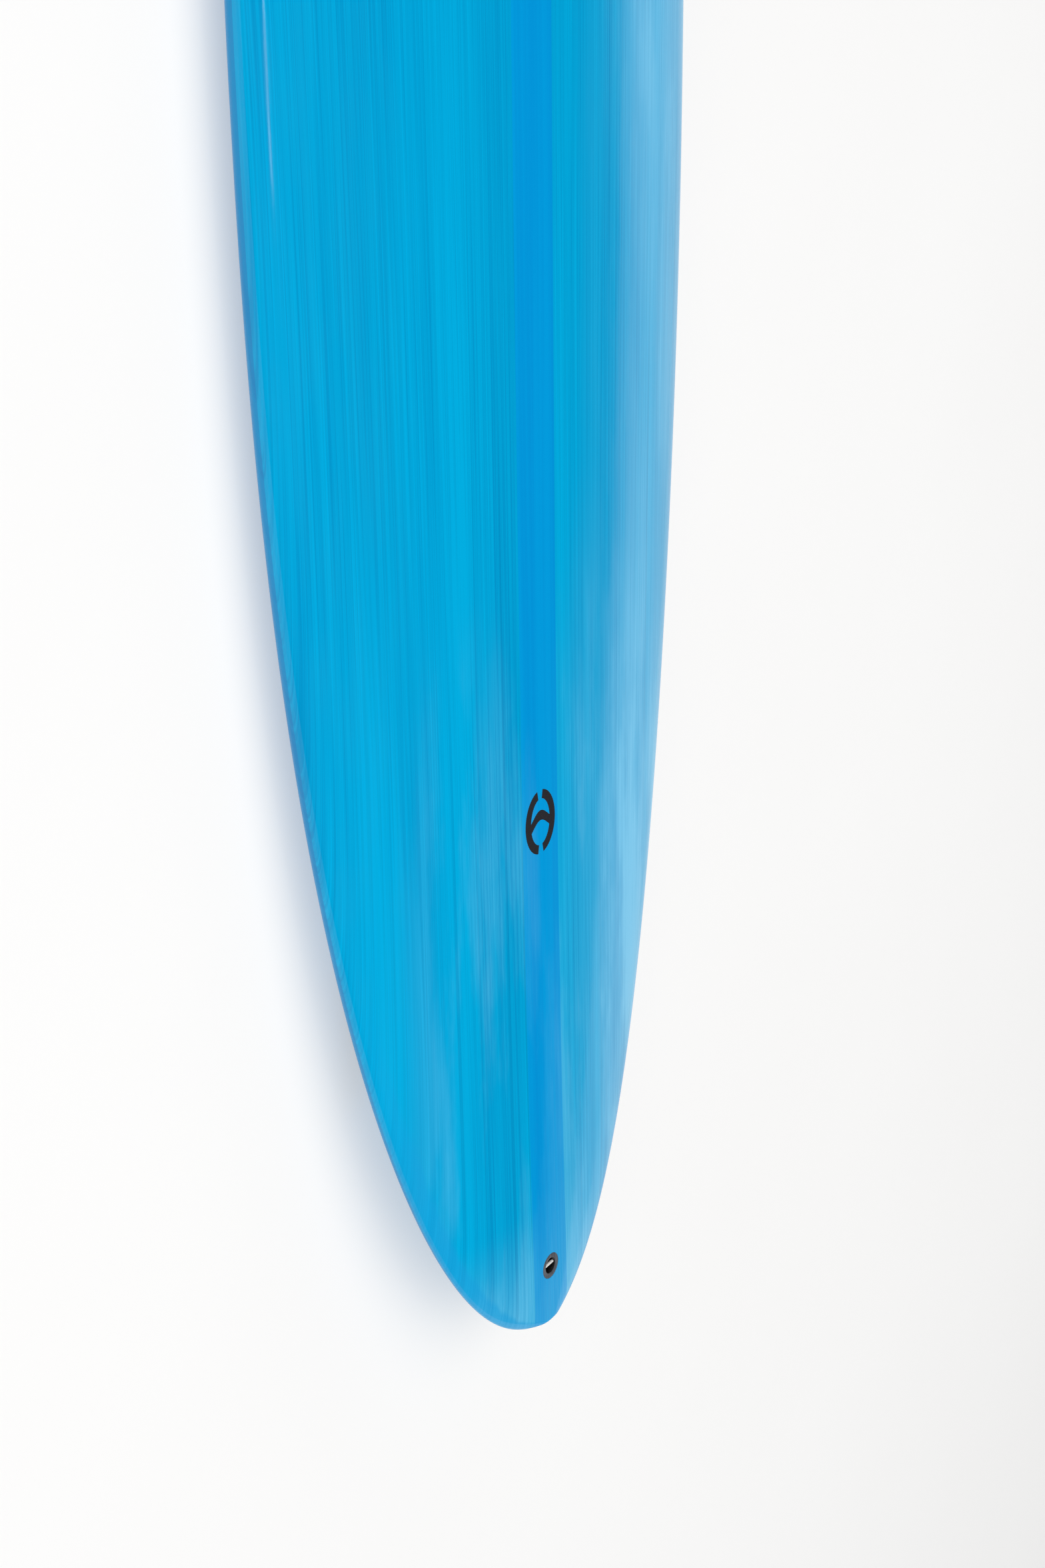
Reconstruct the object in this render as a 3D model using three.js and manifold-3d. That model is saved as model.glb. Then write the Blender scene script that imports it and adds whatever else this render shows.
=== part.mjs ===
// A mid-length surfboard, 7 ft 0 in by 22 in by 2 13/16 in, with a round pin tail.
// Two foam core halves are glued to a wooden stringer and closed in by a deck skin and a bottom skin.
// A leash plug is set in the deck, and a channel fin box and two side fin boxes in the bottom.
//
// Units are millimetres. +Y runs to the nose, +Z is up through the deck and +X is the rider's right.
// The origin is under the middle of the board, level with the lowest point of the bottom.
// A station is a distance from the tail tip, measured along Y.
import * as THREE from "three";
import { mergeVertices } from "three/addons/utils/BufferGeometryUtils.js";
import Module from "manifold-3d";

const wasm = await Module();
wasm.setup();

// ---- Driving dimensions -------------------------------------------------------------------------------

const LENGTH = 2134;
const WIDTH = 559;
const THICKNESS = 71;
const WIDE_STATION = 1060;

// Outline: half width = WIDTH/2 * (1 - (1-u)^power)^(1/root), with u from 0 at the tip to 1 at the wide point.
// Rocker and thickness run from their values at the tip to those at the wide point as powers of 1 - u.
const TAIL = {
  power: 2.1, root: 2.0, rocker: 65, rockerPower: 2.57, thickness: 16, foilPower: 2.49, roundOff: 3,
};
const NOSE = {
  power: 2.25, root: 1.8, rocker: 122, rockerPower: 2.6, thickness: 15, foilPower: 2.4, roundOff: 12,
};

// Section: the rail's apex lies at this share of the thickness, and both sides of it are superellipses.
const RAIL = { apex: 0.4, deckPower: 2.56, deckRoot: 2.0, bottomPower: 7.1, bottomRoot: 2.2 };

const SKIN = 3.0;
const GAP = 0.3;
const CORE_GAP = 0.45; // between core and skins, which run closer together at the tips
const STRINGER_WIDTH = 4.0;
const BAND = { width: 52.6, depth: 0.5, tipClearance: 14 };

const EMBLEM = { station: 504, width: 44, length: 58, ring: 8, split: 8, bar: 9, swell: 6, depth: 0.5 };

const PLUG = {
  station: 60.2, flangeRadius: 12.5, flangeDepth: 2.2, bodyRadius: 10.8, depth: 16,
  mouthRadius: 8, floorRadius: 6.8, floorDepth: 14, pinRadius: 1.5, pinDepth: 4.2, pinLength: 20,
};

const CENTRE_BOX = {
  station: 252, length: 267, width: 25, depth: 19, flange: 3, flangeDepth: 4,
  slotLength: 248, slotWidth: 9.6, slotDepth: 15,
  trackWidth: 15.2, trackBottom: 5, trackHeight: 3.6, entryLength: 19,
};
// The nut plate and its screw slide along the channel and rest at its nose end.
const NUT_PLATE = { length: 16, width: 14.2, thickness: 2.6, bottom: 5.4, holeRadius: 2.1 };
const FIN_SCREW = { headRadius: 3.9, headBottom: 2, headHeight: 2.9, radius: 1.8, length: 11.5, drive: 1 };

const SIDE_BOX = {
  station: 365, offset: 165, toeIn: 2.5, length: 133, width: 14.5, depth: 16, flange: 2.75, flangeDepth: 3.5,
  slotLength: 112, slotWidth: 7, slotDepth: 13, slotShift: -5, screwY: 55, screwBore: 2.8, screwDepth: 12,
};
const GRUB_SCREW = { radius: 2.5, length: 8.5, bottom: 1.5, socketRadius: 1.5, socketDepth: 4 };

// Dense foam blocks that carry the fittings, each this much wider and longer than its fitting.
const BLOCK_MARGIN = 9;
const CENTRE_BLOCK_DEPTH = 21;
const SIDE_BLOCK_DEPTH = 24;
const TAIL_BLOCK = { halfWidth: 30, length: 95 };

const STATIONS = 32; // steps from tail to nose
const ACROSS = 14; // steps across one skin, rail to rail

// ---- Materials ----------------------------------------------------------------------------------------

const paint = (color, roughness, metalness = 0) =>
  new THREE.MeshStandardMaterial({ color, roughness, metalness });
const MATERIALS = {
  deck: paint(0x14a3dc, 0.25),
  band: paint(0x0893dc, 0.25),
  emblem: paint(0x26262a, 0.45),
  foam: paint(0xf2f4f4, 0.9),
  denseFoam: paint(0xe3d9b8, 0.85),
  wood: paint(0xcfa873, 0.7),
  blackPlastic: paint(0x3a383a, 0.5),
  steel: paint(0xc9cbcd, 0.25, 1),
};

// ---- Small tools --------------------------------------------------------------------------------------

function solidOf(geometry) {
  const bare = geometry.clone();
  bare.deleteAttribute("normal");
  bare.deleteAttribute("uv");
  const merged = mergeVertices(bare, 1e-4);
  const vertProperties = new Float32Array(merged.attributes.position.array);
  const triVerts = new Uint32Array(merged.index.array);
  return new wasm.Manifold(new wasm.Mesh({ numProp: 3, vertProperties, triVerts }));
}

function geometryOf(solid) {
  const { vertProperties, triVerts } = solid.getMesh();
  const geometry = new THREE.BufferGeometry();
  geometry.setAttribute("position", new THREE.BufferAttribute(new Float32Array(vertProperties), 3));
  geometry.setIndex(new THREE.BufferAttribute(new Uint32Array(triVerts), 1));
  geometry.computeVertexNormals();
  return geometry;
}

function namedMesh(name, solid, material) {
  const mesh = new THREE.Mesh(geometryOf(solid), material);
  mesh.name = name;
  return mesh;
}

const placed = (solid, matrix) => solid.transform(matrix.elements);

// A closed body through rings that all have the same number of points; the first and last ring may shrink
// to a point or an edge. Triangles without area are left out.
function loft(rings) {
  const count = rings[0].length;
  const points = rings.flat();
  const index = [];
  const addTriangle = (a, b, c) => {
    const [p, q, r] = [points[a], points[b], points[c]];
    const same = (u, v) => u.distanceTo(v) < 1e-6;
    if (!same(p, q) && !same(q, r) && !same(r, p)) index.push(a, b, c);
  };
  for (let i = 0; i + 1 < rings.length; i++) {
    for (let j = 0; j < count; j++) {
      const [a, b] = [i * count + j, i * count + ((j + 1) % count)];
      addTriangle(a, b, a + count);
      addTriangle(b, b + count, a + count);
    }
  }
  for (let j = 1; j + 1 < count; j++) {
    const last = (rings.length - 1) * count;
    addTriangle(0, j + 1, j);
    addTriangle(last, last + j, last + j + 1);
  }
  const geometry = new THREE.BufferGeometry().setFromPoints(points);
  geometry.setIndex(index);
  return solidOf(geometry);
}

function extruded(shape, bottom, top, centreY = 0, curveSegments = 7) {
  const options = { depth: top - bottom, bevelEnabled: false, curveSegments };
  return solidOf(new THREE.ExtrudeGeometry(shape, options).translate(0, centreY, bottom));
}

// A rectangle along Y with round ends.
function stadium(length, width) {
  const radius = width / 2;
  const straight = length / 2 - radius;
  const shape = new THREE.Shape();
  shape.moveTo(radius, -straight);
  shape.lineTo(radius, straight);
  shape.absarc(0, straight, radius, 0, Math.PI, false);
  shape.lineTo(-radius, -straight);
  shape.absarc(0, -straight, radius, Math.PI, 2 * Math.PI, false);
  return shape;
}

function block(sizeX, sizeY, bottom, top, centreX = 0, centreY = 0) {
  const geometry = new THREE.BoxGeometry(sizeX, sizeY, top - bottom);
  return solidOf(geometry.translate(centreX, centreY, (bottom + top) / 2));
}

// A cylinder along Z.
function cylinder(radius, bottom, top, centreY = 0, sides = 32) {
  const geometry = new THREE.CylinderGeometry(radius, radius, top - bottom, sides).rotateX(Math.PI / 2);
  return solidOf(geometry.translate(0, centreY, (bottom + top) / 2));
}

// A body of revolution about Z through [radius, height] points that start and end on the axis.
function turned(profile, sides = 32) {
  const points = profile.map(([radius, height]) => new THREE.Vector2(radius, height));
  return solidOf(new THREE.LatheGeometry(points, sides).rotateX(Math.PI / 2));
}

// ---- The board's surface ------------------------------------------------------------------------------

const yOf = (station) => station - LENGTH / 2;

function endAt(station) {
  if (station <= WIDE_STATION) return [TAIL, station / WIDE_STATION];
  return [NOSE, (LENGTH - station) / (LENGTH - WIDE_STATION)];
}

// The section at a station of the board's body, or of a body that lies inset mm inside it.
function sectionAt(station, inset = 0) {
  const [end, u] = endAt(station);
  const thickness = end.thickness + (THICKNESS - end.thickness) * (1 - (1 - u) ** end.foilPower);
  const rocker = end.rocker * (1 - u) ** end.rockerPower;
  const own = ((station - inset) * LENGTH) / (LENGTH - 2 * inset);
  const [, share] = endAt(Math.min(Math.max(own, 0), LENGTH));
  const toTip = Math.max(Math.min(own, LENGTH - own), 0);
  const rounding = Math.sqrt(1 - (1 - Math.min(toTip / end.roundOff, 1)) ** 2);
  return {
    halfWidth: (WIDTH / 2 - inset) * (1 - (1 - share) ** end.power) ** (1 / end.root),
    apexZ: rocker + RAIL.apex * thickness,
    up: ((1 - RAIL.apex) * thickness - inset) * rounding,
    down: (RAIL.apex * thickness - inset) * rounding,
  };
}

// Height of the deck (side 1) or bottom (side -1) over the rail's apex, at a share across from 0 to 1.
function reach(section, side, across) {
  if (side > 0) return section.up * (1 - across ** RAIL.deckPower) ** (1 / RAIL.deckRoot);
  return section.down * (1 - across ** RAIL.bottomPower) ** (1 / RAIL.bottomRoot);
}

function surfaceZ(side, station, x, inset = 0) {
  const section = sectionAt(station, inset);
  const across = Math.min(Math.abs(x) / section.halfWidth, 1);
  return section.apexZ + side * reach(section, side, across);
}

// Points across one side at a station, from the left rail to the right, keeping lift mm off the apex line.
function row(side, station, inset, lift) {
  const section = sectionAt(station, inset);
  const points = [];
  for (let j = 0; j <= ACROSS; j++) {
    const across = Math.sin((j / ACROSS - 0.5) * Math.PI);
    const height = Math.max(reach(section, side, Math.min(Math.abs(across), 1)), lift);
    const z = section.apexZ + side * height;
    points.push(new THREE.Vector3(section.halfWidth * across, yOf(station), z));
  }
  return points;
}

// Stations of a body inset mm inside the board, closer together towards both tips.
function stationAt(i, inset) {
  return inset + ((LENGTH - 2 * inset) * (1 - Math.cos((Math.PI * i) / STATIONS))) / 2;
}

function rings(makeRing) {
  return Array.from({ length: STATIONS + 1 }, (_, i) => makeRing(i));
}

function wholeBody(inset) {
  const ring = (i) => {
    const station = stationAt(i, inset);
    const bottom = row(-1, station, inset, 0).reverse().slice(1, -1);
    return [...row(1, station, inset, 0), ...bottom];
  };
  return loft(rings(ring));
}

// One skin: the outer surface and the surface SKIN mm inside it, joined along the rails.
function skin(side) {
  const ring = (i) => {
    const outer = row(side, stationAt(i, 0), 0, GAP / 2);
    const inner = row(side, stationAt(i, SKIN), SKIN, GAP / 2).reverse();
    const around = [...outer, ...inner];
    return side > 0 ? around : around.reverse();
  };
  return loft(rings(ring));
}

// A strip along the deck's centre line, from top mm above the deck to bottom mm below it.
function deckStrip(width, top, bottom, tipClearance) {
  const ring = (i) => {
    const station = Math.min(Math.max(stationAt(i, 0), tipClearance), LENGTH - tipClearance);
    const columns = [-0.5, -0.25, 0, 0.25, 0.5].map((share) => share * width);
    const at = (height) => (x) => new THREE.Vector3(x, yOf(station), surfaceZ(1, station, x) + height);
    return [...columns.map(at(top)), ...columns.reverse().map(at(-bottom))];
  };
  const all = rings(ring);
  const distinct = all.filter((r, i) => i === 0 || r[0].y - all[i - 1][0].y > 1e-6);
  return loft(distinct);
}

// The matrix of a fitting's own frame at a point of the deck or bottom: Z along the surface's upward
// normal and Y along the board, turned by toe degrees towards the centre line at the nose end.
function seat(side, station, x = 0, toe = 0) {
  const step = 1;
  const slope = (f) => (f(step) - f(-step)) / (2 * step);
  const slopeX = slope((d) => surfaceZ(side, station, x + d));
  const slopeY = slope((d) => surfaceZ(side, station + d, x));
  const normal = new THREE.Vector3(-slopeX, -slopeY, 1).normalize();
  const angle = THREE.MathUtils.degToRad(toe) * Math.sign(x);
  const along = new THREE.Vector3(-Math.sin(angle), Math.cos(angle), 0);
  along.addScaledVector(normal, -along.dot(normal)).normalize();
  const across = new THREE.Vector3().crossVectors(along, normal);
  const matrix = new THREE.Matrix4().makeBasis(across, along, normal);
  return matrix.setPosition(x, yOf(station), surfaceZ(side, station, x));
}

function seatGroup(matrix, ...meshes) {
  const group = new THREE.Group();
  group.applyMatrix4(matrix);
  group.add(...meshes);
  return group;
}

// ---- Fittings, each in its own seat's frame -----------------------------------------------------------

// The plug's frame has Z out of the deck, so the cup hangs below z = 0.
function leashCup() {
  const p = PLUG;
  const cup = turned([
    [0, -p.depth], [p.bodyRadius - 1.5, -p.depth], [p.bodyRadius, -p.depth + 1.5],
    [p.bodyRadius, -p.flangeDepth], [p.flangeRadius, -p.flangeDepth], [p.flangeRadius, 0],
    [p.mouthRadius + 0.6, 0], [p.mouthRadius, -0.6], [p.floorRadius, -p.floorDepth], [0, -p.floorDepth],
  ]);
  const boreLength = p.pinLength + 2 * GAP;
  const bore = new THREE.CylinderGeometry(p.pinRadius + GAP, p.pinRadius + GAP, boreLength, 16);
  return cup.subtract(solidOf(bore.rotateZ(Math.PI / 2).translate(0, 0, -p.pinDepth)));
}

function leashPin() {
  const pin = new THREE.CylinderGeometry(PLUG.pinRadius, PLUG.pinRadius, PLUG.pinLength, 20);
  return solidOf(pin.rotateZ(Math.PI / 2).translate(0, 0, -PLUG.pinDepth));
}

// A fin box's frame has Z into the board, so its mouth lies near z = 0 and its floor above.
const MOUTH = -5;

function boxBody(box, grow = 0) {
  const body = extruded(stadium(box.length + 2 * grow, box.width + 2 * grow), MOUTH, box.depth + grow);
  const side = 2 * (box.flange + grow);
  return body.add(extruded(stadium(box.length + side, box.width + side), MOUTH, box.flangeDepth + grow));
}

function centreFinBox() {
  const b = CENTRE_BOX;
  const slot = extruded(stadium(b.slotLength, b.slotWidth), MOUTH - 1, b.slotDepth);
  const trackTop = b.trackBottom + b.trackHeight;
  const track = block(b.trackWidth, b.slotLength - b.slotWidth, b.trackBottom, trackTop);
  const entryY = -(b.slotLength - b.slotWidth - b.entryLength) / 2;
  const entry = block(b.trackWidth, b.entryLength, MOUTH - 1, trackTop, 0, entryY);
  return boxBody(b).subtract(slot).subtract(track).subtract(entry);
}

function nutPlate() {
  const n = NUT_PLATE;
  const plate = block(n.width, n.length, n.bottom, n.bottom + n.thickness);
  return plate.subtract(cylinder(n.holeRadius, n.bottom - 1, n.bottom + n.thickness + 1, 0, 20));
}

function finScrew() {
  const f = FIN_SCREW;
  const shoulder = f.headBottom + f.headHeight;
  const screw = turned([
    [0, f.headBottom], [f.headRadius - 0.6, f.headBottom], [f.headRadius, f.headBottom + 0.6],
    [f.headRadius, shoulder], [f.radius, shoulder],
    [f.radius, f.headBottom + f.length - 1], [f.radius - 0.8, f.headBottom + f.length],
    [0, f.headBottom + f.length],
  ], 24);
  const arm = (sizeX, sizeY) => block(sizeX, sizeY, f.headBottom - 1, f.headBottom + 1.4);
  const reachOfDrive = 1.3 * f.headRadius;
  return screw.subtract(arm(f.drive, reachOfDrive)).subtract(arm(reachOfDrive, f.drive));
}

function sideFinBox() {
  const b = SIDE_BOX;
  const slot = extruded(stadium(b.slotLength, b.slotWidth), MOUTH - 1, b.slotDepth, b.slotShift, 6);
  const bore = cylinder(b.screwBore, MOUTH - 1, b.screwDepth, b.screwY, 20);
  return boxBody(b).subtract(slot).subtract(bore);
}

function grubScrew() {
  const g = GRUB_SCREW;
  const body = cylinder(g.radius, g.bottom, g.bottom + g.length, SIDE_BOX.screwY, 20);
  return body.subtract(cylinder(g.socketRadius, g.bottom - 1, g.bottom + g.socketDepth, SIDE_BOX.screwY, 6));
}

// An oval ring, split at both ends, with a swell-shaped bar across it, as a plate whose face is at z = 0.
// A grown emblem is the same shape with edges moved outwards, and cuts the emblem's place in the band.
function emblem(grow = 0) {
  const e = EMBLEM;
  const [low, high] = grow ? [-2, 2] : [-e.depth, 0];
  const oval = (width, length) => {
    const shape = new THREE.Shape();
    shape.absellipse(0, 0, width / 2, length / 2, 0, 2 * Math.PI, false);
    return extruded(shape, low, high);
  };
  const outer = oval(e.width + 2 * grow, e.length + 2 * grow);
  const inner = oval(e.width - 2 * e.ring - 2 * grow, e.length - 2 * e.ring - 2 * grow);
  const steps = 16;
  const edge = (offset) => Array.from({ length: steps + 1 }, (_, i) => {
    const x = (i / steps - 0.5) * (e.width - e.ring);
    return new THREE.Vector2(x, e.swell * Math.cos((2 * Math.PI * x) / e.width) + offset);
  });
  const half = e.bar / 2 + grow;
  const ribbon = new THREE.Shape([...edge(-half), ...edge(half).reverse()]);
  const split = block(e.split - 2 * grow, e.length + 2, low - 1, high + 1);
  return outer.subtract(inner).subtract(split).add(extruded(ribbon, low, high));
}

// ---- Assembly -----------------------------------------------------------------------------------------

const board = new THREE.Group();
const envelope = wholeBody(0);
const core = wholeBody(SKIN + CORE_GAP);
const far = 400; // beyond the board's own width and height on every side

const plugSeat = seat(1, PLUG.station);
const emblemSeat = seat(1, EMBLEM.station);
const centreSeat = seat(-1, CENTRE_BOX.station);
const sideSeats = {
  left: seat(-1, SIDE_BOX.station, -SIDE_BOX.offset, SIDE_BOX.toeIn),
  right: seat(-1, SIDE_BOX.station, SIDE_BOX.offset, SIDE_BOX.toeIn),
};

// What a fitting keeps clear, in the board's frame.
const plugRoom = placed(cylinder(PLUG.flangeRadius + GAP, -SKIN - 1, far), plugSeat);
const cupRoom = placed(cylinder(PLUG.bodyRadius + GAP, -PLUG.depth - GAP, far), plugSeat);
const centreRoom = placed(boxBody(CENTRE_BOX, GAP), centreSeat);
const sideRoom = (matrix) => placed(boxBody(SIDE_BOX, GAP), matrix);

// Dense foam round a fin box, in the box's frame.
const boxBlock = (box, depth, grow = 0) => {
  const margin = 2 * (BLOCK_MARGIN + grow);
  return block(box.width + margin, box.length + margin, MOUTH, depth + grow);
};
const tailBlock = (grow = 0) => {
  const end = TAIL_BLOCK.length + grow;
  return block(2 * (TAIL_BLOCK.halfWidth + grow), 2 * end, -far, far, 0, yOf(0));
};

function addSkins() {
  const bandRoom = deckStrip(BAND.width + 2 * GAP, 2, BAND.depth + GAP, BAND.tipClearance - GAP);
  const deck = skin(1).subtract(bandRoom).subtract(plugRoom);
  let bottom = skin(-1).subtract(centreRoom);
  for (const matrix of Object.values(sideSeats)) bottom = bottom.subtract(sideRoom(matrix));
  const band = deckStrip(BAND.width, 0, BAND.depth, BAND.tipClearance)
    .subtract(plugRoom)
    .subtract(placed(emblem(GAP), emblemSeat));
  board.add(
    namedMesh("deck_skin", deck, MATERIALS.deck),
    namedMesh("bottom_skin", bottom, MATERIALS.deck),
    namedMesh("centre_band", band, MATERIALS.band),
    seatGroup(emblemSeat, namedMesh("deck_emblem", emblem(), MATERIALS.emblem)),
  );
}

function addCore() {
  const centreCut = placed(boxBlock(CENTRE_BOX, CENTRE_BLOCK_DEPTH, GAP), centreSeat);
  const tailCut = tailBlock(GAP);
  for (const [name, matrix] of Object.entries(sideSeats)) {
    const sign = Math.sign(matrix.elements[12]);
    const inner = STRINGER_WIDTH / 2 + GAP;
    const half = block(far, LENGTH, -far, far, sign * (inner + far / 2));
    const sideCut = placed(boxBlock(SIDE_BOX, SIDE_BLOCK_DEPTH, GAP), matrix);
    const foam = core.intersect(half).subtract(centreCut).subtract(tailCut).subtract(sideCut);
    board.add(namedMesh(`foam_core_${name}`, foam, MATERIALS.foam));
  }
  const slab = block(STRINGER_WIDTH, LENGTH, -far, far);
  const stringer = core.intersect(slab).subtract(centreCut).subtract(tailCut);
  board.add(namedMesh("stringer", stringer, MATERIALS.wood));
}

function addLeashPlug() {
  const foam = core.intersect(tailBlock()).subtract(cupRoom);
  board.add(namedMesh("tail_block", foam, MATERIALS.denseFoam));
  board.add(seatGroup(
    plugSeat,
    namedMesh("leash_cup", leashCup(), MATERIALS.blackPlastic),
    namedMesh("leash_pin", leashPin(), MATERIALS.steel),
  ));
}

// A box cut flush with the board's surface, and the dense foam round it.
function boxWithBlock(name, matrix, box, solid, depth) {
  const toSeat = matrix.clone().invert();
  const trimmed = solid.intersect(placed(envelope, toSeat));
  const foam = boxBlock(box, depth).intersect(placed(core, toSeat)).subtract(boxBody(box, GAP));
  return [
    namedMesh(`${name}_fin_box`, trimmed, MATERIALS.blackPlastic),
    namedMesh(`${name}_box_block`, foam, MATERIALS.denseFoam),
  ];
}

function addFinBoxes() {
  const fastener = new THREE.Group();
  fastener.position.y = (CENTRE_BOX.slotLength - CENTRE_BOX.slotWidth - NUT_PLATE.length) / 2 - GAP;
  fastener.add(
    namedMesh("fin_nut_plate", nutPlate(), MATERIALS.steel),
    namedMesh("fin_screw", finScrew(), MATERIALS.steel),
  );
  board.add(seatGroup(
    centreSeat,
    ...boxWithBlock("centre", centreSeat, CENTRE_BOX, centreFinBox(), CENTRE_BLOCK_DEPTH),
    fastener,
  ));
  for (const [name, matrix] of Object.entries(sideSeats)) {
    board.add(seatGroup(
      matrix,
      ...boxWithBlock(name, matrix, SIDE_BOX, sideFinBox(), SIDE_BLOCK_DEPTH),
      namedMesh(`${name}_grub_screw`, grubScrew(), MATERIALS.steel),
    ));
  }
}

addSkins();
addCore();
addLeashPlug();
addFinBoxes();

export default board;
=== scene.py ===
"""Looks for the surfboard: fine deck and bottom shells, leash plug, emblem, materials, studio and camera."""

import math

import bmesh
import bpy
import numpy as np
from mathutils import Matrix, Vector


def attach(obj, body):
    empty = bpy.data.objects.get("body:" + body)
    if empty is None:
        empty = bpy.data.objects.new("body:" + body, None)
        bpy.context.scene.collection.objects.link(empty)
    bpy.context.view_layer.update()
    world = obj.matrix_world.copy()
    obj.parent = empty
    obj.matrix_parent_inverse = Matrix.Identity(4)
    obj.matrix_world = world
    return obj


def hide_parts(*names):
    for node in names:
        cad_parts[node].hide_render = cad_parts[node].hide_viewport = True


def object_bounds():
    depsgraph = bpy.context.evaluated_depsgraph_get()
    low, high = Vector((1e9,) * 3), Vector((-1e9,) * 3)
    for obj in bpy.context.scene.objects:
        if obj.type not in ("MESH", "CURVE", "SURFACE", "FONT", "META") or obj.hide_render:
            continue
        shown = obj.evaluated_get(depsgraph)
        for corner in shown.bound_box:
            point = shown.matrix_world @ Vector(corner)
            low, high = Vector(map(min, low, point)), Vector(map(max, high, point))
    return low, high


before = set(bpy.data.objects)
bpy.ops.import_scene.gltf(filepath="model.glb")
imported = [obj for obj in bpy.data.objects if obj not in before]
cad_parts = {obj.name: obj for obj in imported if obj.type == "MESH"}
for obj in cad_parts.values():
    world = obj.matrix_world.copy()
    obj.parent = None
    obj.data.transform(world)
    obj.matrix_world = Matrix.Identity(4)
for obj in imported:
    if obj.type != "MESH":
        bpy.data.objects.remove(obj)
cad_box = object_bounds()
cad_top = cad_box[1][2]  # the fine shells are held down to this height at the nose

# ---- The board's form, in metres; a station is a distance from the tail tip -----------------------------

LENGTH = 2.134
WIDTH = 0.559
THICKNESS = 0.071
WIDE_STATION = 1.060
TAIL = dict(
    power=2.1, root=2.0, rocker=0.065, rocker_power=2.57, thickness=0.016, foil_power=2.49, round_off=0.003,
)
NOSE = dict(
    power=2.25, root=1.8, rocker=0.122, rocker_power=2.6, thickness=0.015, foil_power=2.4, round_off=0.012,
)
APEX = 0.4
DECK_POWER, DECK_ROOT = 2.56, 2.0
BOTTOM_POWER, BOTTOM_ROOT = 7.1, 2.2
SHELL = 0.003
INSIDE_BOX = 0.99998  # keeps the fine shells inside the faceted model's box

BAND_WIDTH = 0.0526
BAND_BLUR = 0.0002  # half the width over which the band's edge fades
DECK, BOTTOM = 1, -1

PLUG_STATION = 0.0602
PLUG_RADIUS = 0.0125
EMBLEM_STATION = 0.504
CENTRE_BOX = dict(station=0.252, length=0.267, width=0.025, flange=0.003)
SIDE_BOX = dict(station=0.365, x=0.165, toe=2.5, length=0.133, width=0.0145, flange=0.00275)
CUT_REACH = 0.02  # how far a cutter stands out on both sides of the surface

STATIONS = 260  # steps from tail to nose
ACROSS = 96  # steps from rail to rail


def end_at(station):
    """The end that a station belongs to, and its share of the way from that tip to the widest point."""
    if station <= WIDE_STATION:
        return TAIL, station / WIDE_STATION
    return NOSE, (LENGTH - station) / (LENGTH - WIDE_STATION)


def section_at(station, inset=0.0):
    """Half width, apex height, and reach above and below it, of the body that lies inset inside the board."""
    end, u = end_at(station)
    thickness = end["thickness"] + (THICKNESS - end["thickness"]) * (1 - (1 - u) ** end["foil_power"])
    rocker = end["rocker"] * (1 - u) ** end["rocker_power"]
    own = min(max((station - inset) * LENGTH / (LENGTH - 2 * inset), 0.0), LENGTH)
    share = end_at(own)[1]
    to_tip = max(min(own, LENGTH - own), 0.0)
    rounding = math.sqrt(1 - (1 - min(to_tip / end["round_off"], 1.0)) ** 2)
    half = (WIDTH / 2 - inset) * (1 - (1 - share) ** end["power"]) ** (1 / end["root"])
    up = ((1 - APEX) * thickness - inset) * rounding
    down = (APEX * thickness - inset) * rounding
    return half, rocker + APEX * thickness, up, down


def surface_z(side, station, x, inset=0.0):
    half, apex_z, up, down = section_at(station, inset)
    across = min(abs(x) / half, 1.0) if half > 0 else 1.0
    if side == DECK:
        return apex_z + up * (1 - across**DECK_POWER) ** (1 / DECK_ROOT)
    return apex_z - down * (1 - across**BOTTOM_POWER) ** (1 / BOTTOM_ROOT)


def seat(side, station, x=0.0, toe=0.0):
    """Frame at a point of the surface: Z up its normal, Y along the board, turned in by toe degrees."""
    step = 0.001
    slope_x = (surface_z(side, station, x + step) - surface_z(side, station, x - step)) / (2 * step)
    slope_y = (surface_z(side, station + step, x) - surface_z(side, station - step, x)) / (2 * step)
    normal = Vector((-slope_x, -slope_y, 1)).normalized()
    angle = math.radians(toe) * (1 if x > 0 else -1)
    along = Vector((-math.sin(angle), math.cos(angle), 0))
    along = (along - normal * along.dot(normal)).normalized()
    across = along.cross(normal)
    matrix = Matrix((across, along, normal)).transposed().to_4x4()
    matrix.translation = Vector((x, station - LENGTH / 2, surface_z(side, station, x)))
    return matrix


# ---- Mesh tools ------------------------------------------------------------------------------------------


def mesh_object(name, points, faces, material):
    mesh = bpy.data.meshes.new(name)
    mesh.from_pydata([tuple(p) for p in points], [], faces)
    mesh.materials.append(material)
    obj = bpy.data.objects.new(name, mesh)
    bpy.context.scene.collection.objects.link(obj)
    return obj


def clean(obj, sharp_degrees=35):
    """Merges doubled points, points all faces outwards and shades smooth except across sharp edges."""
    work = bmesh.new()
    work.from_mesh(obj.data)
    bmesh.ops.remove_doubles(work, verts=work.verts, dist=1e-7)
    bmesh.ops.dissolve_degenerate(work, edges=work.edges, dist=1e-8)
    bmesh.ops.recalc_face_normals(work, faces=work.faces)
    limit = math.radians(sharp_degrees)
    for face in work.faces:
        face.smooth = True
    for edge in work.edges:
        edge.smooth = edge.calc_face_angle(math.pi) < limit
    work.to_mesh(obj.data)
    work.free()
    return obj


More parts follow.
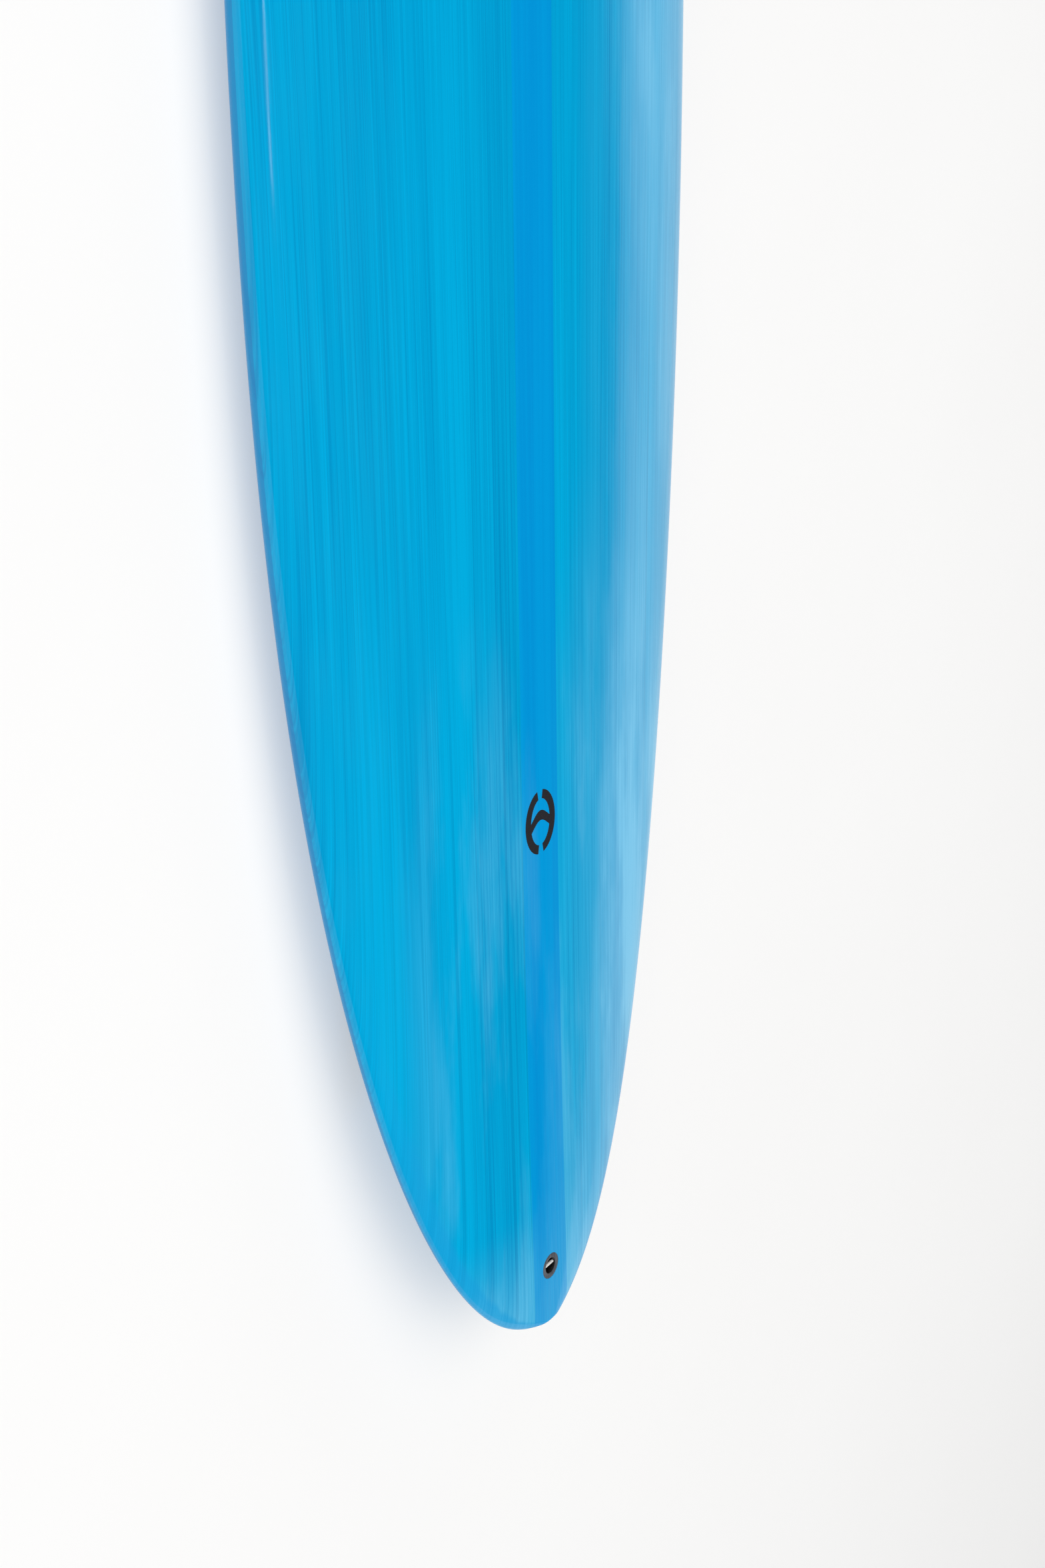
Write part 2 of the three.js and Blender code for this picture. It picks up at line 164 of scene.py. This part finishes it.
def turned(name, profile, matrix, material, sides=96):
    """A body of revolution about the matrix's Z through (radius, height) points that end on the axis."""
    points, faces = [], []
    for radius, height in profile:
        for k in range(sides):
            angle = 2 * math.pi * k / sides
            points.append(matrix @ Vector((radius * math.cos(angle), radius * math.sin(angle), height)))
    for i in range(len(profile) - 1):
        for k in range(sides):
            a, b = i * sides + k, i * sides + (k + 1) % sides
            faces.append((a, b, b + sides, a + sides))
    return clean(mesh_object(name, points, faces, material))


def cutter_through(outline, matrix):
    """A straight body through an outline of (x, y) points, used to cut holes."""
    count = len(outline)
    points = [matrix @ Vector((x, y, z)) for z in (-CUT_REACH, CUT_REACH) for x, y in outline]
    faces = [tuple(reversed(range(count))), tuple(range(count, 2 * count))]
    faces += [(k, (k + 1) % count, count + (k + 1) % count, count + k) for k in range(count)]
    mesh = bpy.data.meshes.new("cutter")
    mesh.from_pydata(points, [], faces)
    obj = bpy.data.objects.new("cutter", mesh)
    bpy.context.scene.collection.objects.link(obj)
    return clean(obj)


def stadium(length, width, steps=24):
    """Outline of a bar along Y with round ends."""
    radius = width / 2
    straight = length / 2 - radius
    points = []
    for centre, start in ((straight, 0.0), (-straight, math.pi)):
        for k in range(steps + 1):
            angle = start + math.pi * k / steps
            points.append((radius * math.cos(angle), centre + radius * math.sin(angle)))
    return points


def cut(obj, cutters):
    for cutter in cutters:
        modifier = obj.modifiers.new("cut", "BOOLEAN")
        modifier.operation = "DIFFERENCE"
        modifier.solver = "EXACT"
        modifier.object = cutter
    graph = bpy.context.evaluated_depsgraph_get()
    result = bpy.data.meshes.new_from_object(obj.evaluated_get(graph))
    obj.modifiers.clear()
    obj.data = result
    for cutter in cutters:
        bpy.data.objects.remove(cutter)


# ---- Node tools ------------------------------------------------------------------------------------------


class Shader:
    """A material with one Principled shader, and short calls for the nodes that feed it."""

    def __init__(self, name, **values):
        self.material = bpy.data.materials.new(name)
        self.material.use_nodes = True
        self.tree = self.material.node_tree
        self.bsdf = self.tree.nodes["Principled BSDF"]
        for socket, value in values.items():
            self.bsdf.inputs[socket.replace("_", " ")].default_value = value
        self.place = self.tree.nodes.new("ShaderNodeTexCoord").outputs["Object"]

    def node(self, kind, inputs=(), **settings):
        node = self.tree.nodes.new(kind)
        for key, value in settings.items():
            setattr(node, key, value)
        for socket, value in dict(inputs).items():
            self.feed(node.inputs[socket], value)
        return node

    def feed(self, socket, value):
        if isinstance(value, bpy.types.NodeSocket):
            self.tree.links.new(value, socket)
        else:
            socket.default_value = value

    def noise(self, scale, detail=3.0, roughness=0.5, distortion=0.0, offset=(0, 0, 0)):
        """Noise in object space with its own scale along X, Y and Z, from 0 to 1."""
        mapping = self.node("ShaderNodeMapping", {"Vector": self.place, "Location": offset, "Scale": scale})
        inputs = {"Vector": mapping.outputs[0], "Scale": 1.0, "Detail": detail}
        inputs |= {"Roughness": roughness, "Distortion": distortion}
        return self.node("ShaderNodeTexNoise", inputs).outputs["Fac"]

    def math(self, operation, a, b=0.0, clamp=False):
        node = self.node("ShaderNodeMath", {0: a, 1: b}, operation=operation, use_clamp=clamp)
        return node.outputs[0]

    def spread(self, value, low, high, start=0.0, end=1.0):
        """Maps value from low..high smoothly to start..end."""
        inputs = {"Value": value, "From Min": low, "From Max": high, "To Min": start, "To Max": end}
        node = self.node("ShaderNodeMapRange", inputs, interpolation_type="SMOOTHSTEP")
        return node.outputs["Result"]

    def mix(self, factor, a, b):
        node = self.node("ShaderNodeMix", {"Factor": factor}, data_type="RGBA")
        self.feed(node.inputs[6], a)
        self.feed(node.inputs[7], b)
        return node.outputs[2]

    def axis(self, name):
        return self.node("ShaderNodeSeparateXYZ", {0: self.place}).outputs[name]

    def attribute(self, name):
        return self.node("ShaderNodeAttribute", attribute_name=name).outputs["Fac"]

    def bump(self, height, strength, distance):
        inputs = {"Height": height, "Strength": strength, "Distance": distance}
        return self.node("ShaderNodeBump", inputs).outputs["Normal"]

    def set(self, socket, value):
        self.feed(self.bsdf.inputs[socket], value)


def colour(red, green, blue):
    """Linear colour of an sRGB one with values from 0 to 255."""

    def linear(value):
        value /= 255
        return value / 12.92 if value <= 0.04045 else ((value + 0.055) / 1.055) ** 2.4

    return (linear(red), linear(green), linear(blue), 1.0)


# ---- Materials -------------------------------------------------------------------------------------------

TINT = dict(
    stroke=colour(0, 132, 186),
    deep=colour(0, 146, 201),
    mid=colour(0, 161, 213),
    light=colour(0, 172, 223),
    # colour of the painted reflection, a pale veil over the deck
    reflection_veil=colour(106, 196, 236),
    band=colour(0, 147, 216),
    band_light=colour(0, 155, 221),
    lap=colour(0, 124, 188),
    rail=colour(22, 158, 218),
)


def brushed_tint(shader):
    """Brush-streaked blue resin: long streaks from hand-wide to hair-fine, with a few darker strokes."""
    broad = shader.noise((14, 0.5, 1), detail=2, offset=(3, 0, 0))
    streaks = shader.noise((95, 0.8, 1), detail=4, roughness=0.65)
    fine = shader.noise((430, 1.6, 1), detail=3, roughness=0.7, offset=(0, 5, 0))
    hair = shader.noise((1100, 2.6, 1), detail=2, roughness=0.7, offset=(0, 9, 0))
    tone = shader.math("ADD", shader.math("MULTIPLY", broad, 0.28), shader.math("MULTIPLY", streaks, 0.14))
    tone = shader.math("ADD", tone, shader.math("MULTIPLY", fine, 0.24))
    tone = shader.math("ADD", tone, shader.math("MULTIPLY", hair, 0.34))
    base = shader.mix(shader.spread(tone, 0.42, 0.50), TINT["deep"], TINT["mid"])
    base = shader.mix(shader.spread(tone, 0.50, 0.58), base, TINT["light"])
    strokes = shader.spread(shader.noise((150, 0.35, 1), detail=3, offset=(0, 0, 4)), 0.60, 0.68)
    base = shader.mix(shader.math("MULTIPLY", strokes, 0.45), base, TINT["stroke"])
    return base, streaks, shader.math("ADD", fine, hair)


def painted_reflection(shader, fine):
    """Where a pale reflection is painted into the tint: towards the right rail, in patches, and over the tail.
    """
    x, y = shader.axis("X"), shader.axis("Y")
    shifted = shader.math("ADD", x, shader.spread(y, -0.25, -0.50, -0.05, 0.015))
    on_front = shader.spread(y, -0.10, 0.05, 0.55, 1.0)
    on_right = shader.math("ADD", on_front, shader.spread(y, -0.40, -0.75, 0.0, 0.45))
    on_right = shader.math("MULTIPLY", on_right, shader.spread(shifted, 0.0, 0.20))
    noise = shader.noise((13.0, 2.2, 1), detail=5, roughness=0.55, offset=(1.3, 2.1, 0))
    on_right = shader.math("MULTIPLY", on_right, shader.spread(noise, 0.40, 0.60, 0.45, 1.05))
    on_back = shader.spread(y, -0.33, -0.62, 0.0, 0.28)
    on_back = shader.math("MULTIPLY", on_back, shader.spread(x, -0.19, -0.11))
    patched = shader.math("MULTIPLY", shader.spread(noise, 0.46, 0.62), on_back)
    tip = shader.spread(y, -0.92, -1.06, 0.0, 0.34)
    amount = shader.math("ADD", shader.math("ADD", on_right, patched), tip)
    grain = shader.spread(fine, 0.80, 1.20, 0.75, 1.25)
    return shader.math("MULTIPLY", amount, grain, clamp=True)


def coat(shader, height, strength=0.12):
    """Sanded clear resin over the colour: nearly smooth, with faint ripples."""
    ripple = shader.noise((9, 4, 9), detail=2, offset=(7, 7, 7))
    gloss = shader.noise((60, 12, 60), detail=3)
    shader.set("Roughness", shader.spread(gloss, 0.3, 0.7, 0.30, 0.42))
    shader.set("Coat Weight", 0.65)
    shader.set("Coat Roughness", shader.spread(gloss, 0.3, 0.7, 0.06, 0.11))
    shader.set("Coat IOR", 1.5)
    shader.set("Specular IOR Level", 0.0)
    shader.set("Normal", shader.bump(height, strength, 0.0002))
    shader.set("Coat Normal", shader.bump(ripple, 0.25, 0.002))


def deck_material():
    shader = Shader("deck_resin")
    base, streaks, fine = brushed_tint(shader)
    band = shader.mix(shader.spread(streaks, 0.35, 0.65), TINT["band"], TINT["band_light"])
    off_centre = shader.math("ABSOLUTE", shader.axis("X"))
    in_band = shader.spread(off_centre, BAND_WIDTH / 2 + BAND_BLUR, BAND_WIDTH / 2 - BAND_BLUR)
    painted = shader.mix(in_band, base, band)
    # Painted reflection: a pale veil mixed into the deck's colour, weaker over the band.
    painted_reflection_amount = shader.math("MULTIPLY", painted_reflection(shader, fine), shader.spread(in_band, 0, 1, 1.0, 0.45))
    painted = shader.mix(painted_reflection_amount, painted, TINT["reflection_veil"])
    edge = shader.math("ADD", shader.attribute("rail_distance"), shader.spread(streaks, 0, 1, -0.004, 0.004))
    at_tail = shader.spread(shader.axis("Y"), -0.60, -0.95, 0.0, 0.6)
    on_rail = shader.math("MULTIPLY", shader.spread(edge, 0.020, 0.012), at_tail)
    shader.set("Base Color", shader.mix(on_rail, painted, TINT["rail"]))
    coat(shader, fine)
    return shader.material


def bottom_material():
    """The same tint, with the darker lap where the deck's cloth is folded under the rail."""
    shader = Shader("bottom_resin")
    base, streaks, fine = brushed_tint(shader)
    edge = shader.math("ADD", shader.attribute("rail_distance"), shader.spread(streaks, 0, 1, -0.002, 0.002))
    lap = shader.spread(edge, 0.0455, 0.0445)
    shader.set("Base Color", shader.mix(shader.math("MULTIPLY", lap, 0.6), base, TINT["lap"]))
    coat(shader, fine)
    return shader.material


def emblem_material():
    shader = Shader("emblem_print")
    grain = shader.noise((900, 900, 900), detail=2)
    tone = shader.mix(grain, colour(36, 36, 40), colour(50, 50, 54))
    shader.set("Base Color", tone)
    coat(shader, grain, 0.05)
    return shader.material


def plastic_material(name, dark, light, roughness):
    shader = Shader(name)
    grain = shader.noise((1400, 1400, 1400), detail=3)
    scuffs = shader.noise((300, 60, 300), detail=4, offset=(2, 2, 2))
    shader.set("Base Color", shader.mix(shader.spread(scuffs, 0.35, 0.7), dark, light))
    shader.set("Roughness", shader.spread(grain, 0.3, 0.7, roughness - 0.08, roughness + 0.1))
    shader.set("Normal", shader.bump(grain, 0.25, 0.0001))
    return shader.material


def steel_material(name, metallic, dark, light):
    shader = Shader(name, Metallic=metallic)
    lines = shader.noise((200, 2400, 2400), detail=3)
    shader.set("Base Color", shader.mix(lines, dark, light))
    shader.set("Roughness", shader.spread(lines, 0.3, 0.7, 0.14, 0.3))
    shader.set("Normal", shader.bump(lines, 0.1, 0.00005))
    return shader.material


def foam_material(name, light, dark):
    shader = Shader(name, Roughness=0.9)
    cells = shader.node("ShaderNodeTexVoronoi", {"Vector": shader.place, "Scale": 900.0}).outputs["Distance"]
    shader.set("Base Color", shader.mix(cells, light, dark))
    shader.set("Normal", shader.bump(cells, 0.3, 0.0004))
    return shader.material


def wood_material():
    shader = Shader("stringer_wood", Roughness=0.7)
    rings = shader.noise((60, 3, 220), detail=4, distortion=0.4)
    shader.set("Base Color", shader.mix(rings, colour(168, 126, 82), colour(214, 180, 132)))
    shader.set("Normal", shader.bump(rings, 0.15, 0.0003))
    return shader.material


# ---- Pieces ----------------------------------------------------------------------------------------------


def skin_row(side, station, inset):
    half, apex_z, _, _ = section_at(station, inset)
    points = []
    for j in range(ACROSS + 1):
        across = math.sin((j / ACROSS - 0.5) * math.pi)
        x = half * across
        z = apex_z if j in (0, ACROSS) else surface_z(side, station, x, inset)
        z = min(z, cad_top)
        points.append((INSIDE_BOX * x, INSIDE_BOX * (station - LENGTH / 2), z))
    return points


def shell(name, side, material):
    """One half of the board's skin: its outer surface and the surface inside it, joined along the rails."""
    outer, inner, from_rail = [], [], []
    for i in range(STATIONS + 1):
        share = (1 - math.cos(math.pi * i / STATIONS)) / 2
        row = skin_row(side, LENGTH * share, 0.0)
        half = max(abs(row[0][0]), 1e-6)
        outer += row
        from_rail += [half - abs(x) for x, _, _ in row]
        inner += skin_row(side, SHELL + (LENGTH - 2 * SHELL) * share, SHELL)
    width = ACROSS + 1
    count = width * (STATIONS + 1)
    faces = []
    for i in range(STATIONS):
        for j in range(ACROSS):
            a = i * width + j
            quad = (a, a + 1, a + 1 + width, a + width)
            faces += [quad, tuple(count + k for k in reversed(quad))]
        for j in (0, ACROSS):
            a = i * width + j
            faces.append((a, a + width, a + width + count, a + count))
    obj = mesh_object(name, outer + inner, faces, material)
    field = obj.data.attributes.new("rail_distance", "FLOAT", "POINT")
    field.data.foreach_set("value", from_rail + from_rail)
    return clean(obj)


def build_deck():
    deck = shell("deck_shell", DECK, deck_material())
    turn = np.linspace(0, 2 * math.pi, 97)[:-1]
    circle = [(PLUG_RADIUS * math.cos(angle), PLUG_RADIUS * math.sin(angle)) for angle in turn]
    cut(deck, [cutter_through(circle, seat(DECK, PLUG_STATION))])
    clean(deck)
    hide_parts("deck_skin", "centre_band")
    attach(deck, "board")


def fin_box_seats():
    yield CENTRE_BOX, seat(BOTTOM, CENTRE_BOX["station"])
    for sign in (-1, 1):
        yield SIDE_BOX, seat(BOTTOM, SIDE_BOX["station"], sign * SIDE_BOX["x"], SIDE_BOX["toe"])


def build_bottom():
    bottom = shell("bottom_shell", BOTTOM, bottom_material())
    cutters = []
    for box, matrix in fin_box_seats():
        grow = 2 * box["flange"]
        outline = stadium(box["length"] + grow, box["width"] + grow)
        cutters.append(cutter_through(outline, matrix))
    cut(bottom, cutters)
    clean(bottom)
    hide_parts("bottom_skin")
    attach(bottom, "board")


def build_leash_plug():
    """The cup, with shade painted near-black into its well, and the pin across its mouth, with a painted
    glint, from profiles in millimetres.
    """
    matrix = seat(DECK, PLUG_STATION)
    mm = 0.001
    well_radius = 7.7 * mm
    below_floor = -14.5 * mm
    pin_depth = 3.4 * mm  # the CAD's pin lies 4.2 mm deep
    rim = [(9.3, -16), (10.3, -15.7), (10.8, -14.5), (10.8, -2.2), (12.5, -2.2), (12.5, -0.25), (12.3, -0.08),
           (12.0, 0.0), (8.4, 0.0), (8.0, -0.15), (7.7, -0.5)]
    well = [(7.5, -1.1), (7.2, -7.0), (6.8, -12.6), (6.4, -13.6), (5.6, -14.0), (0, -14.0)]
    cup = turned("leash_plug_cup", [(0, -0.016)] + [(r * mm, z * mm) for r, z in rim + well], matrix,
                 plastic_material("plug_plastic", colour(64, 67, 73), colour(92, 95, 102), 0.42))
    # Painted shade: the well is coloured near-black where shade falls in the recess.
    cup.data.materials.append(plastic_material("plug_well_painted_shade", colour(10, 10, 11), colour(22, 22, 24), 0.35))
    to_seat = matrix.inverted()
    for face in cup.data.polygons:
        centre = to_seat @ face.center
        if math.hypot(centre.x, centre.y) < well_radius and centre.z > below_floor:
            face.material_index = 1
    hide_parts("leash_cup")
    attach(cup, "board")
    turn = Matrix.Translation((0, 0, -pin_depth)) @ Matrix.Rotation(math.pi / 2, 4, "Y")
    ends = [(0, -10), (1.2, -10), (1.5, -9.7), (1.5, 9.7), (1.2, 10), (0, 10)]
    # Painted glint: the steel pin is coloured near-white so it reads as a bright highlight.
    pin = turned("leash_plug_pin", [(r * mm, z * mm) for r, z in ends], matrix @ turn,
                 steel_material("pin_steel_painted_glint", 0.15, colour(234, 233, 230), colour(252, 251, 248)), 40)
    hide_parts("leash_pin")
    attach(pin, "board")


def emblem_strip(left, right, lift):
    """Points and faces of a closed strip between two equally long lines of (x, y) points on the deck."""
    thickness = 0.0003
    points = []
    for height in (lift, lift - thickness):
        for line in (left, right):
            for x, y in line:
                z = surface_z(DECK, EMBLEM_STATION + y, x) + height
                points.append((x, EMBLEM_STATION + y - LENGTH / 2, z))
    n = len(left)
    faces = []
    for k in range(n - 1):
        faces.append((k, k + 1, n + k + 1, n + k))
        faces.append((2 * n + k, 3 * n + k, 3 * n + k + 1, 2 * n + k + 1))
        faces.append((k, 2 * n + k, 2 * n + k + 1, k + 1))
        faces.append((n + k, n + k + 1, 3 * n + k + 1, 3 * n + k))
    for k in (0, n - 1):
        faces.append((k, n + k, 3 * n + k, 2 * n + k))
    return points, faces


def build_emblem():
    """An oval ring split at both ends, with a hump-shaped bar across it."""
    half_width, half_length, ring, split, bar, swell = 0.022, 0.029, 0.008, 0.004, 0.0045, 0.006
    strips = []
    for sign in (-1, 1):
        gap = math.asin(split / half_width)
        angles = np.linspace(-math.pi / 2 + gap, math.pi / 2 - gap, 60)
        outer = [(sign * half_width * math.cos(a), half_length * math.sin(a)) for a in angles]
        short, tall = half_width - ring, half_length - ring
        inner = [(sign * short * math.cos(a), tall * math.sin(a)) for a in angles]
        strips.append(emblem_strip(outer, inner, 0.0001))
    xs = np.linspace(-(half_width - ring / 2), half_width - ring / 2, 60)
    wave = [swell * math.cos(math.pi * x / half_width) for x in xs]
    low = [(x, y - bar) for x, y in zip(xs, wave)]
    high = [(x, y + bar) for x, y in zip(xs, wave)]
    strips.append(emblem_strip(low, high, 0.00013))
    points, faces = [], []
    for strip_points, strip_faces in strips:
        faces += [tuple(k + len(points) for k in face) for face in strip_faces]
        points += strip_points
    emblem = clean(mesh_object("emblem_decal", points, faces, emblem_material()))
    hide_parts("deck_emblem")
    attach(emblem, "board")


def dress_cad_nodes():
    box_plastic = plastic_material("box_plastic", colour(40, 40, 42), colour(70, 70, 72), 0.5)
    looks = {
        box_plastic: ("centre_fin_box", "left_fin_box", "right_fin_box"),
        steel_material("stainless_steel", 1.0, colour(176, 178, 180), colour(214, 216, 218)): (
            "fin_nut_plate", "fin_screw", "left_grub_screw", "right_grub_screw"),
        foam_material("core_foam", colour(244, 245, 244), colour(226, 228, 226)): (
            "foam_core_left", "foam_core_right"),
        foam_material("dense_foam", colour(226, 214, 178), colour(204, 190, 150)): (
            "tail_block", "centre_box_block", "left_box_block", "right_box_block"),
        wood_material(): ("stringer",),
    }
    for material, names in looks.items():
        for name in names:
            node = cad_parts[name]
            node.data.materials.clear()
            node.data.materials.append(material)


# ---- Studio ----------------------------------------------------------------------------------------------


def build_floor():
    """A pale floor that curves up into a low wall all round."""
    shader = Shader("studio_floor", Roughness=0.7)
    mottle = shader.noise((1.5, 1.5, 1.5), detail=4)
    shader.set("Base Color", shader.mix(mottle, colour(190, 189, 188), colour(195, 195, 194)))
    shader.set("Specular IOR Level", 0.1)
    shader.set("Emission Color", (1.0, 1.0, 1.0, 1.0))
    shader.set("Emission Strength", 0.43)
    radius, bend, height = 9.0, 2.0, 5.0
    curve = [(radius + bend * math.sin(a), bend * (1 - math.cos(a))) for a in np.linspace(0, math.pi / 2, 13)]
    profile = [(0, 0), *curve, (radius + bend, height)]
    turned("studio_floor", profile, Matrix(), shader.material)


def area_light(name, place, target, size, power, glossy=True, diffuse=True):
    light = bpy.data.lights.new(name, "AREA")
    light.shape = "RECTANGLE"
    light.size, light.size_y = size
    light.energy = power
    obj = bpy.data.objects.new(name, light)
    obj.location = place
    obj.rotation_euler = (Vector(target) - Vector(place)).to_track_quat("-Z", "Y").to_euler()
    obj.visible_glossy = glossy
    obj.visible_diffuse = diffuse
    obj.visible_camera = False
    bpy.context.scene.collection.objects.link(obj)


def build_lights():
    area_light("overhead", (-0.7, 0.0, 3.6), (-0.3, 0, 0), (8.0, 8.0), 298, glossy=False)
    area_light("fill_left", (-3.2, -0.6, 1.0), (0, -0.3, 0), (4.0, 1.6), 9, glossy=False)
    area_light("wall_right", (3.6, -0.5, 0.75), (0, -0.5, 0.1), (10.0, 1.4), 13, diffuse=False)
    area_light("rail_strip", (-0.54, 0.06, 2.62), (-0.54, 0.06, 0), (0.12, 0.8), 1.3)
    world = bpy.data.worlds.new("studio")
    world.use_nodes = True
    background = world.node_tree.nodes["Background"]
    background.inputs["Color"].default_value = (1.0, 1.0, 1.0, 1.0)
    background.inputs["Strength"].default_value = 0.02
    bpy.context.scene.world = world


def build_camera():
    """The photograph's view; the 50 mm lens and the board's size were chosen, and the place fitted to them."""
    camera = bpy.data.cameras.new("camera")
    camera.sensor_fit = "VERTICAL"
    camera.sensor_height = 36
    camera.lens = 50
    camera.clip_start = 0.02
    camera.clip_end = 60
    right = Vector((0.5653, -0.0115, 0.8248))
    up = Vector((0.3228, 0.9233, -0.2083))
    back = right.cross(up)
    matrix = Matrix((right, up, back)).transposed().to_4x4()
    matrix.translation = Vector((-1.3930, 0.1721, 1.0191))
    obj = bpy.data.objects.new("camera", camera)
    obj.matrix_world = matrix
    bpy.context.scene.collection.objects.link(obj)
    bpy.context.scene.camera = obj


build_camera()
build_deck()
build_bottom()
build_leash_plug()
build_emblem()
dress_cad_nodes()
build_floor()
build_lights()
bpy.context.scene.view_settings.view_transform = "Standard"
